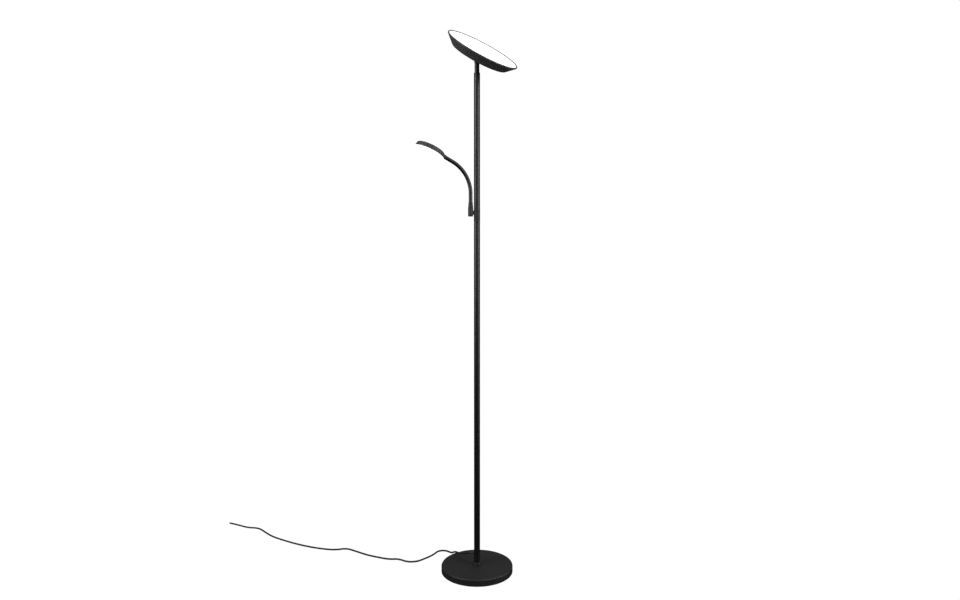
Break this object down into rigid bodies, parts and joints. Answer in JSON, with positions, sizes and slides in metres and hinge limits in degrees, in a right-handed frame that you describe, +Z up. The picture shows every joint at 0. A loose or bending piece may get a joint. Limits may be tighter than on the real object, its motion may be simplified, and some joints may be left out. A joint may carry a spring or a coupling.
{
  "type": "torchiere floor lamp",
  "caption": "Floor lamp with a round weighted base, a slim pole, a large tilting uplight dish and a gooseneck reading lamp.",
  "frame": {"origin": "on the floor at the pole's axis, the middle of the felt under the base", "axes": "+Z up along the pole; +X to the right seen from the front; +Y away from the viewer; the reading arm reaches towards -X and a little forwards"},
  "size_m": [1.2247, 0.568, 1.8008],
  "materials": {
    "black_coat": "satin black powder coat",
    "dish_coat": "satin black powder coat on aluminium",
    "opal": "satin opal white",
    "iron": "rough cast",
    "zinc_steel": "zinc plated",
    "felt": "dense felt",
    "nylon": "natural nylon",
    "cable_sheath": "smooth PVC sheath",
    "tie_plastic": "matt",
    "plug_plastic": "fine moulded texture",
    "plug_metal": "nickel plated",
    "led_board": "white coated board",
    "led_chip": "phosphor yellow",
    "driver_case": "moulded case",
    "button_cap": "satin",
    "gooseneck_coat": "smooth black coated wound tube"
  },
  "bodies": {
    "stand": {"base_cover": "black_coat", "base_weight": "iron", "base_plate": "zinc_steel", "base_felt": "felt", "base_screws": "zinc_steel", "foot_collar": "black_coat", "base_nipple": "zinc_steel", "base_washer": "zinc_steel", "base_nut": "zinc_steel", "pole_insert": "zinc_steel", "pole_tube_low": "black_coat", "pole_tube_mid": "black_coat", "pole_tube_high": "black_coat", "pole_couplers": "zinc_steel", "block_inserts": "zinc_steel", "block_nipple": "zinc_steel", "pole_tube_top": "black_coat", "neck_bushing": "nylon", "pole_cable": "cable_sheath", "cord_relief": "cable_sheath", "cord_tube": "cable_sheath", "cord_coil": "cable_sheath", "cord_tie": "tie_plastic", "plug_body": "plug_plastic", "plug_pins": "plug_metal"},
    "neck": {"neck_fork": "black_coat", "neck_clip": "zinc_steel", "tilt_bolt": "zinc_steel", "tilt_nut": "zinc_steel"},
    "uplight": {"tilt_tongue": "black_coat", "tongue_screws": "zinc_steel", "dish_shell": "dish_coat", "dish_bezel": "dish_coat", "dish_diffuser": "opal", "dish_driver": "driver_case", "led_plate": "led_board", "led_chips": "led_chip", "plate_posts": "zinc_steel", "plate_screws": "zinc_steel"},
    "joint_block": {"arm_block": "black_coat", "arm_stud": "zinc_steel", "stud_washer": "zinc_steel", "stud_nut": "zinc_steel", "button_switches": "button_cap"},
    "uplight_button": {"button_uplight": "button_cap"},
    "reading_button": {"button_reading": "button_cap"},
    "arm": {"ferrule": "black_coat", "ferrule_cap": "black_coat", "ferrule_cone": "black_coat", "gooseneck_1": "gooseneck_coat"},
    "flex_2": {"gooseneck_2": "gooseneck_coat"},
    "flex_3": {"gooseneck_3": "gooseneck_coat"},
    "flex_4": {"gooseneck_4": "gooseneck_coat"},
    "reading_lamp": {"gooseneck_5": "gooseneck_coat", "neck_socket": "dish_coat", "read_housing": "dish_coat", "read_diffuser": "opal", "read_board": "led_board", "read_leds": "led_chip", "read_screws": "zinc_steel"}
  },
  "joints": [
    {"name": "head_swivel", "type": "hinge", "parent": "stand", "child": "neck", "pos_m": [0, 0, 1.6], "axis": [0, 0, 1], "range_deg": [-170, 170]},
    {"name": "head_tilt", "type": "hinge", "parent": "neck", "child": "uplight", "pos_m": [0, 0, 1.6878], "axis": [0.6921, 0.7218, 0], "range_deg": [-37.9, 52.1]},
    {"name": "arm_swing", "type": "hinge", "parent": "stand", "child": "joint_block", "pos_m": [0, 0, 1.187], "axis": [0, 0, 1], "range_deg": [-165, 165]},
    {"name": "press_uplight", "type": "slide", "parent": "joint_block", "child": "uplight_button", "axis": [-0.4226, -0.9063, 0], "range_m": [0, 0.0007], "stiffness_N_per_m": 400},
    {"name": "press_reading", "type": "slide", "parent": "joint_block", "child": "reading_button", "axis": [-0.4226, -0.9063, 0], "range_m": [0, 0.0007], "stiffness_N_per_m": 400},
    {"name": "arm_tilt", "type": "hinge", "parent": "joint_block", "child": "arm", "pos_m": [0, 0, 1.198], "axis": [-0.9548, -0.2974, 0], "range_deg": [-90, 90]},
    {"name": "bend_1", "type": "hinge", "parent": "arm", "child": "flex_2", "pos_m": [-0.02091, -0.00651, 1.25821], "axis": [0.2974, -0.9548, 0], "range_deg": [-15, 15]},
    {"name": "bend_2", "type": "hinge", "parent": "flex_2", "child": "flex_3", "pos_m": [-0.02916, -0.00908, 1.3035], "axis": [0.2974, -0.9548, 0], "range_deg": [-15, 15]},
    {"name": "bend_3", "type": "hinge", "parent": "flex_3", "child": "flex_4", "pos_m": [-0.05394, -0.0168, 1.3416], "axis": [0.2974, -0.9548, 0], "range_deg": [-15, 15]},
    {"name": "bend_4", "type": "hinge", "parent": "flex_4", "child": "reading_lamp", "pos_m": [-0.09076, -0.02827, 1.36708], "axis": [0.2974, -0.9548, 0], "range_deg": [-15, 15]}
  ],
  "couplings": [
    {"joint": "bend_2", "follows": "bend_1", "ratio": 1},
    {"joint": "bend_3", "follows": "bend_1", "ratio": 1},
    {"joint": "bend_4", "follows": "bend_1", "ratio": 1}
  ]
}
